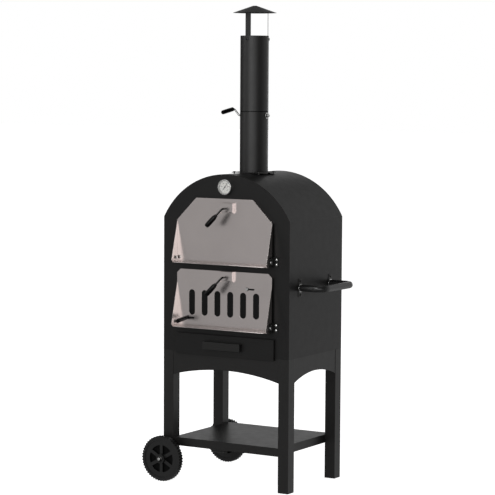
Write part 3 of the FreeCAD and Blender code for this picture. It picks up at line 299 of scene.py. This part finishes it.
# ---------------------------------------------------------------- CAD nodes with eased edges
ROD_EASE = 0.15
EASED = {
    "leg_front_right": 2.2, "leg_back_right": 2.2, "leg_front_left": 2.2, "leg_back_left": 2.2,
    "leg_caps": 1.0, "apron_front": 0.5, "apron_back": 0.5, "apron_left": 0.5,
    "apron_right": 0.5, "bottom_shelf": 0.6, "wheel_bolts": 0.5, "push_nuts": 0.4,
    "front_wheel": 0.5, "rear_wheel": 0.5, "body_shell": 0.5, "front_panel": 0.7,
    "rear_panel": 0.7, "body_floor": 0.4, "side_rails": 0.4, "charcoal_grate": 1.0,
    "cooking_rack": 0.2, "drawer_runners": 0.4, "ash_tray": 0.4,
    "drawer_front": 0.5, "drawer_pull": 0.5, "upper_door": 0.45, "lower_door": 0.45,
    "hinge_brackets": 0.5, "pivot_bolts": 1.2, "pivot_nuts": 0.3,
    "upper_latch_bracket": 0.5, "upper_latch_tongue": 0.5,
    "lower_latch_bracket": 0.5, "lower_latch_tongue": 0.5,
    "vent_slider": 0.3, "vent_guide_screw": 0.5, "thermometer_case": 0.3,
    "chimney_plate": 0.5, "lower_pipe": 0.4, "upper_pipe": 0.4, "damper_plate": 0.3,
    "damper_nut": 0.4, "rain_cap": 0.3, "cap_straps": 0.3, "handle_plates": 0.5,
    "handle_collars": 0.6, "pizza_stone": 0.2,
}
for node_name, width in EASED.items():
    softened(node_name, width, 3 if width > 1 else 2)

# The faces down in the wheels' pockets get a darker, duller material: painted shade, standing in for the
# shadow down in the pockets.
WHEEL_HALF_WIDTH = 15
POCKET_HALF_DEPTH = 6.2
POCKET_RADII = (15.5, 45.5)
for node_name, edge, inward in (("front_wheel", 0, 1), ("rear_wheel", 1, -1)):
    wheel = bpy.data.objects[node_name + "_look"]
    wheel.data.materials.append(MATERIALS["painted_pocket_shade"])
    hub = middle(node_name)
    hub.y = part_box(node_name)[edge].y + inward * WHEEL_HALF_WIDTH * MM
    for polygon in wheel.data.polygons:
        off = (polygon.center - hub) / MM
        reach = math.hypot(off.x, off.z)
        if abs(off.y) < POCKET_HALF_DEPTH and POCKET_RADII[0] < reach < POCKET_RADII[1]:
            polygon.material_index = 1

for node_name in ("upper_latch_rod", "lower_latch_rod", "vent_knob_rod", "damper_rod",
                  "side_handle", "thermometer_glass", "thermometer_dial"):
    softened(node_name, ROD_EASE)


# ---------------------------------------------------------------- grips
LEVER = Vector((-0.641, -0.220, -0.735))
LATCH_GRIP = [(3.5, 0), (5.0, 0), (5.5, 0.5), (5.5, 4.5), (6.3, 6.0), (7.5, 8.5), (8.0, 18), (8.2, 30),
              (8.1, 42), (7.4, 46.5), (5.4, 49.2), (0, 50)]
SMALL_GRIP = [(3.2, 0), (6.0, 0), (6.7, 0.7), (6.9, 8), (7.0, 24), (7.0, 51), (6.4, 54.6), (4.6, 56.6),
              (0, 57)]
KNOB_AXIS = Vector((0, -0.993, -0.117))
DAMPER_AXIS = Vector((-0.107, -0.977, -0.186))
GRIPS = {
    "upper_latch_grip": (LEVER, LATCH_GRIP),
    "lower_latch_grip": (LEVER, LATCH_GRIP),
    "vent_knob_grip": (KNOB_AXIS, SMALL_GRIP),
    "damper_grip": (DAMPER_AXIS, SMALL_GRIP),
}
END_DEPTH = 0.1


def grip_start(node_name, direction):
    """Middle of the end where the CAD grip begins."""
    points = {tuple(v.co) for v in frame["nodes"][node_name].data.vertices}
    reach = {p: Vector(p).dot(direction) for p in points}
    limit = min(reach.values()) + END_DEPTH * MM
    end = [Vector(p) for p in points if reach[p] < limit]
    low = Vector([min(p[i] for p in end) for i in range(3)])
    high = Vector([max(p[i] for p in end) for i in range(3)])
    return (low + high) / 2


for node_name, (direction, profile) in GRIPS.items():
    grip = lathe(node_name + "_look", profile, grip_start(node_name, direction), direction,
                 "grip_plastic", BODY_OF[node_name], (node_name,))
    weighted(grip)


# ---------------------------------------------------------------- rolled hems of the door ledges
HEM_RADIUS = 1.5
HEM_END_MARGIN = 10
HEM_BEHIND_EDGE = 1.8
for name, node_name in (("upper_door_hem", "upper_door"), ("lower_door_hem", "lower_door")):
    low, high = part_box(node_name)
    length = (high.x - low.x) / MM - 2 * HEM_END_MARGIN
    hem = [(0, 0), (1.1, 0.3), (HEM_RADIUS, 1.3), (HEM_RADIUS, length - 1.3), (1.1, length - 0.3),
           (0, length)]
    start = moved(low, HEM_END_MARGIN, HEM_BEHIND_EDGE, HEM_RADIUS)
    lathe(name, hem, start, X, "stainless_sheet", BODY_OF[node_name], segments=20)


# ---------------------------------------------------------------- painted shade in the pipe seam
# Dark band put in the seam between the two pipes: painted shade, standing in for the shadow in the gap.
PIPE_AXIS = middle("chimney_plate")
PIPE_LOW, PIPE_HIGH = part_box("upper_pipe")
PIPE_RADIUS = max((v.co.xy - PIPE_AXIS.xy).length for v in frame["nodes"]["upper_pipe"].data.vertices) / MM
SEAM_GAP = 2.5
SHADE_BAND_INNER = PIPE_RADIUS - 1.4
SHADE_BAND_EDGE = PIPE_RADIUS - 0.5
SHADE_BAND_OUTER = PIPE_RADIUS - 0.35
SHADE_BAND_PROFILE = [(SHADE_BAND_INNER, 0.1), (SHADE_BAND_EDGE, 0.1), (SHADE_BAND_OUTER, 0.5), (SHADE_BAND_OUTER, SEAM_GAP - 0.5),
                (SHADE_BAND_EDGE, SEAM_GAP - 0.1), (SHADE_BAND_INNER, SEAM_GAP - 0.1)]
shade_band_start = Vector((PIPE_AXIS.x, PIPE_AXIS.y, PIPE_LOW.z - SEAM_GAP * MM))
lathe("pipe_seam_shade", SHADE_BAND_PROFILE, shade_band_start, Z, "painted_seam_shade", "oven", segments=96)


# ---------------------------------------------------------------- screws with cross recesses
HEAD_RADIUS = 4.6
HEAD_HEIGHT = 2.6
HEAD_RIM = 0.7
SHANK_RADIUS = 2.4
SHANK_LENGTH = 9.0
RECESS_HALF = 0.62
RECESS_REACH = 2.3
RECESS_DEPTH = 1.3
DOME_RINGS = 13
SCREW_SEGMENTS = 40


def cross_recess(u, v, along):
    """Depth of the cross recess at a point of the head."""
    inside = along > HEAD_RIM and min(u, v) < RECESS_HALF and max(u, v) < RECESS_REACH
    return RECESS_DEPTH if inside else 0.0


def screw_outline():
    """Shank, rim and dome of a screw, from its tip to the top of its head."""
    outline = [(0, -SHANK_LENGTH), (SHANK_RADIUS, -SHANK_LENGTH), (SHANK_RADIUS, 0),
               (HEAD_RADIUS, 0), (HEAD_RADIUS, HEAD_RIM)]
    for k in range(1, DOME_RINGS + 1):
        share = 1 - k / DOME_RINGS
        rise = (HEAD_HEIGHT - HEAD_RIM) * math.sqrt(1 - share ** 2)
        outline.append((HEAD_RADIUS * share, HEAD_RIM + rise))
    return outline


def screws(name, seats, slot):
    """Domed screws with cross recesses; each seat is a place and the way in."""
    bm = bmesh.new()
    for seat, into in seats:
        lathe_bm(bm, screw_outline(), seat, -into, SCREW_SEGMENTS, cross_recess)
    bmesh.ops.recalc_face_normals(bm, faces=bm.faces)
    finish_mesh(object_from(bm, name), slot, "oven", ("panel_screws",), 40)


BRACKET_SCREW_MARGIN = 6.84
BRACKET_THICK = 2
BRACKET_RISE = 16
BRACKET_SCREW_HALF_GAP = 7.75
PLATE_SCREW_MARGIN = 8
HANDLE_SCREW_MARGIN = 12
HANDLE_SCREW_HALF_GAP = 22.5
CAP_SCREW_DROP = 11.5
CAP_SCREWS = 3


def bracket_seats():
    """Two screws in the foot of each door's hinge bracket, on both sides."""
    low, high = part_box("hinge_brackets")
    seats = []
    for door in ("upper_door", "lower_door"):
        for gap in (-BRACKET_SCREW_HALF_GAP, BRACKET_SCREW_HALF_GAP):
            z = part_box(door)[0].z + (BRACKET_RISE + gap) * MM
            for x in (low.x + BRACKET_SCREW_MARGIN * MM, high.x - BRACKET_SCREW_MARGIN * MM):
                seats.append((Vector((x, PANEL_LOW.y - BRACKET_THICK * MM, z)), Y))
    return seats


def plate_seats():
    """A screw near each corner of the chimney plate."""
    low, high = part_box("chimney_plate")
    inset = PLATE_SCREW_MARGIN * MM
    return [(Vector((x, y, high.z)), -Z) for x in (low.x + inset, high.x - inset)
            for y in (low.y + inset, high.y - inset)]


def handle_seats():
    """Two screws in each plate of the side handle."""
    low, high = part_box("handle_plates")
    inset = HANDLE_SCREW_MARGIN * MM
    level = (low.z + high.z) / 2
    gap = HANDLE_SCREW_HALF_GAP * MM
    return [(Vector((high.x, y, z)), -X) for y in (low.y + inset, high.y - inset)
            for z in (level - gap, level + gap)]


def cap_seats():
    """Screws through the cap's straps into the pipe."""
    top = Vector((PIPE_AXIS.x, PIPE_AXIS.y, PIPE_HIGH.z - CAP_SCREW_DROP * MM))
    seats = []
    for k in range(CAP_SCREWS):
        around = math.radians(-90 + 360 / CAP_SCREWS * k)
        outward = Vector((math.cos(around), math.sin(around), 0))
        seats.append((top + outward * PIPE_RADIUS * MM, -outward))
    return seats


screws("hinge_screws", bracket_seats(), "zinc_steel")
screws("cover_screws", plate_seats() + handle_seats() + cap_seats(), "black_steel")


# ---------------------------------------------------------------- thermometer marks and pointer
DIAL = middle("thermometer_dial")
DIAL.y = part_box("thermometer_dial")[0].y
DIAL_FIRST = -135
DIAL_LAST = 135
DIAL_STEPS = 50
NUMBER_STEPS = 5
NUMBER_RADIUS = 12.6
NUMBER_HEIGHT = 4.2
NUMBER_HALF_THICK = 0.04
NUMBER_PROUD = 0.05
MARK_OUTER = 20.6
MARK_THICK = 0.10
BORDER_BARS = 120


def dial_point(radius, degrees):
    """Point on the dial, degrees clockwise from the top."""
    a = math.radians(degrees)
    return DIAL + Vector((math.sin(a), 0, math.cos(a))) * radius * MM


def dial_bar(bm, degrees, inner, outer, width):
    """Adds one printed bar that points at the dial's middle."""
    a = math.radians(degrees)
    across = Vector((math.cos(a), 0, -math.sin(a))) * width / 2 * MM
    low, high = dial_point(inner, degrees), dial_point(outer, degrees)
    ring = [low - across, low + across, high + across, high - across]
    back = [bm.verts.new(p + Y * 0.01 * MM) for p in ring]
    front = [bm.verts.new(p - Y * MARK_THICK * MM) for p in ring]
    bm.faces.new(front)
    for i in range(4):
        j = (i + 1) % 4
        bm.faces.new((back[i], back[j], front[j], front[i]))


def dial_marks():
    """Scale of ticks and the bars of its border."""
    marks = bmesh.new()
    for step in range(DIAL_STEPS + 1):
        degrees = DIAL_FIRST + (DIAL_LAST - DIAL_FIRST) * step / DIAL_STEPS
        if step % 10 == 0:
            inner, width = 16.6, 0.75
        elif step % 5 == 0:
            inner, width = 18.0, 0.45
        else:
            inner, width = 18.9, 0.45
        dial_bar(marks, degrees, inner, MARK_OUTER, width)
    for step in range(BORDER_BARS):
        dial_bar(marks, (step + 0.5) * 360 / BORDER_BARS, 20.9, 21.35, 1.18)
    bmesh.ops.recalc_face_normals(marks, faces=marks.faces)
    finish_mesh(object_from(marks, "dial_marks"), "dial_ink", "oven")


def dial_number(step):
    """One printed number of the scale."""
    degrees = DIAL_FIRST + (DIAL_LAST - DIAL_FIRST) * step / NUMBER_STEPS
    curve = bpy.data.curves.new("number_curve", "FONT")
    curve.body = str(100 * step)
    curve.size = NUMBER_HEIGHT * MM
    curve.align_x = "CENTER"
    curve.align_y = "CENTER"
    curve.extrude = NUMBER_HALF_THICK * MM
    number = bpy.data.objects.new("number_text", curve)
    bpy.context.scene.collection.objects.link(number)
    bpy.context.view_layer.update()
    depsgraph = bpy.context.evaluated_depsgraph_get()
    mesh = bpy.data.meshes.new_from_object(number.evaluated_get(depsgraph))
    bpy.data.objects.remove(number)
    place = Matrix.Translation(dial_point(NUMBER_RADIUS, degrees) - Y * NUMBER_PROUD * MM)
    mesh.transform(place @ Matrix.Rotation(math.radians(90), 4, "X"))
    obj = bpy.data.objects.new("dial_number_%d" % step, mesh)
    bpy.context.scene.collection.objects.link(obj)
    finish_mesh(obj, "dial_ink", "oven")


POINTER_LEAN = 52
POINTER_PROUD = 0.3
POINTER_THICK = 0.5
POINTER_SHAPE = [(-9.5, -1.7), (-7.5, -1.0), (0, -1.25), (17.8, -0.25), (17.8, 0.25), (0, 1.25),
                 (-7.5, 1.0), (-9.5, 1.7)]
POINTER_BOSS = [(0, 0), (2.6, 0), (2.6, 0.8), (2.1, 1.2), (0, 1.3)]


def dial_pointer():
    """Tapered pointer with a domed boss, just in front of the dial."""
    pointer = bmesh.new()
    lean = math.radians(POINTER_LEAN)
    along = Vector((math.cos(lean), 0, math.sin(lean)))
    across = Vector((-math.sin(lean), 0, math.cos(lean)))
    centre = DIAL - Y * POINTER_PROUD * MM
    back_ring = [pointer.verts.new(centre + (along * a + across * b) * MM) for a, b in POINTER_SHAPE]
    front_ring = [pointer.verts.new(v.co - Y * POINTER_THICK * MM) for v in back_ring]
    pointer.faces.new(front_ring)
    pointer.faces.new(back_ring[::-1])
    for i in range(len(POINTER_SHAPE)):
        j = (i + 1) % len(POINTER_SHAPE)
        pointer.faces.new((back_ring[i], back_ring[j], front_ring[j], front_ring[i]))
    lathe_bm(pointer, POINTER_BOSS, centre, -Y, 32)
    bmesh.ops.recalc_face_normals(pointer, faces=pointer.faces)
    finish_mesh(object_from(pointer, "thermometer_pointer"), "needle_paint",
                BODY_OF["thermometer_needle"], ("thermometer_needle",))


dial_marks()
for step in range(NUMBER_STEPS + 1):
    dial_number(step)
dial_pointer()


# ---------------------------------------------------------------- studio
FLOOR_GLOW = 0.93


def stage_plane(name, size, colour):
    """Pale floor that fades into the backdrop."""
    bm = bmesh.new()
    bmesh.ops.create_grid(bm, x_segments=1, y_segments=1, size=size)
    obj = object_from(bm, name)
    m, b = new_material(name, colour, 0.9, 0.0, 0.2)
    b.inputs["Emission Color"].default_value = (1, 1, 1, 1)
    b.inputs["Emission Strength"].default_value = FLOOR_GLOW
    obj.data.materials.append(m)
    obj.visible_glossy = False


stage_plane("floor", 40, (0.86, 0.86, 0.86))


def softbox(name, place, aim, size, power):
    """Rectangular area light turned towards a point."""
    light = bpy.data.lights.new(name, "AREA")
    light.shape = "RECTANGLE"
    light.size, light.size_y = size
    light.energy = power
    obj = bpy.data.objects.new(name, light)
    obj.location = place
    obj.rotation_mode = "QUATERNION"
    obj.rotation_quaternion = (Vector(aim) - Vector(place)).to_track_quat("-Z", "Y")
    bpy.context.scene.collection.objects.link(obj)


softbox("front_box", (0.15, -4.2, 1.7), (0, 0, 0.9), (2.0, 1.8), 48)
softbox("key", (-0.9, -3.3, 3.7), (0, 0, 0.7), (2.2, 2.2), 38)
softbox("overhead", (-0.6, 0.3, 4.4), (0, 0, 0.8), (3.0, 3.0), 12)
softbox("rear_fill", (-0.2, 4.6, 0.9), (0, 0, 0.9), (1.4, 1.4), 14)
softbox("left_fill", (-3.8, -2.4, 2.0), (0, 0, 0.9), (1.6, 2.4), 16)

# Each glow: the way it lies, where its fall-off starts and ends as a cosine, and its strength.
BASE_GLOW = 0.13
GLOWS = [
    ((0.515, 0.857, 0.0), 0.45, 0.95, 0.72),
    ((-0.515, -0.857, 0.0), 0.6, 0.98, 0.36),
    ((-0.515, 0.857, 0.16), 0.93, 0.995, 0.80),
    ((0.515, -0.857, 0.0), 0.93, 0.99, 2.6),
]


def studio_world():
    """White backdrop for the camera, and soft glows in a dim room for the light."""
    world = bpy.data.worlds.new("studio")
    bpy.context.scene.world = world
    world.use_nodes = True
    tree = world.node_tree
    tree.nodes.clear()
    out = tree.nodes.new("ShaderNodeOutputWorld")
    mix = tree.nodes.new("ShaderNodeMixShader")
    path = tree.nodes.new("ShaderNodeLightPath")
    seen = tree.nodes.new("ShaderNodeBackground")
    seen.inputs["Color"].default_value = (1, 1, 1, 1)
    lit = tree.nodes.new("ShaderNodeBackground")
    coords = tree.nodes.new("ShaderNodeTexCoord")
    total = None
    for toward, low, high, strength in GLOWS:
        dot = tree.nodes.new("ShaderNodeVectorMath")
        dot.operation = "DOT_PRODUCT"
        dot.inputs[1].default_value = Vector(toward).normalized()
        ramp = tree.nodes.new("ShaderNodeMapRange")
        ramp.interpolation_type = "SMOOTHSTEP"
        ramp.inputs["From Min"].default_value = low
        ramp.inputs["From Max"].default_value = high
        ramp.inputs["To Min"].default_value = 0.0
        ramp.inputs["To Max"].default_value = strength
        add = tree.nodes.new("ShaderNodeMath")
        add.operation = "ADD"
        add.inputs[1].default_value = BASE_GLOW
        tree.links.new(coords.outputs["Generated"], dot.inputs[0])
        tree.links.new(dot.outputs["Value"], ramp.inputs["Value"])
        tree.links.new(ramp.outputs["Result"], add.inputs[0])
        if total is not None:
            tree.links.new(total, add.inputs[1])
        total = add.outputs["Value"]
    tree.links.new(total, lit.inputs["Strength"])
    tree.links.new(path.outputs["Is Camera Ray"], mix.inputs["Fac"])
    tree.links.new(lit.outputs["Background"], mix.inputs[1])
    tree.links.new(seen.outputs["Background"], mix.inputs[2])
    tree.links.new(mix.outputs["Shader"], out.inputs["Surface"])


studio_world()
bpy.context.scene.view_settings.view_transform = "Standard"
bpy.context.scene.view_settings.look = "None"

# ---------------------------------------------------------------- camera
AZIMUTH = math.radians(31.03)
PITCH = math.radians(4.96)
ROLL = math.radians(0.35)
AIM_HEIGHT = 738.9
DISTANCE = 6712.4
SENSOR_WIDTH = 36
LENS = 148.51
SHIFT_X = -0.01184
SHIFT_Y = 0.01721


def place_camera():
    """Long lens on the right of the front, a little above the middle."""
    right = Vector((math.cos(AZIMUTH), math.sin(AZIMUTH), 0))
    back = Vector((math.sin(AZIMUTH) * math.cos(PITCH), -math.cos(AZIMUTH) * math.cos(PITCH),
                   math.sin(PITCH)))
    up = back.cross(right)
    rolled_right = right * math.cos(ROLL) + up * math.sin(ROLL)
    rolled_up = up * math.cos(ROLL) - right * math.sin(ROLL)
    data = bpy.data.cameras.new("camera")
    data.sensor_width = SENSOR_WIDTH
    data.lens = LENS
    data.shift_x = SHIFT_X
    data.shift_y = SHIFT_Y
    data.clip_end = 100
    camera = bpy.data.objects.new("camera", data)
    place = moved(CENTRE, 0, 0, AIM_HEIGHT) + back * DISTANCE * MM
    turn = Matrix((rolled_right, rolled_up, back)).transposed().to_4x4()
    camera.matrix_world = Matrix.Translation(place) @ turn
    bpy.context.scene.collection.objects.link(camera)
    bpy.context.scene.camera = camera


place_camera()
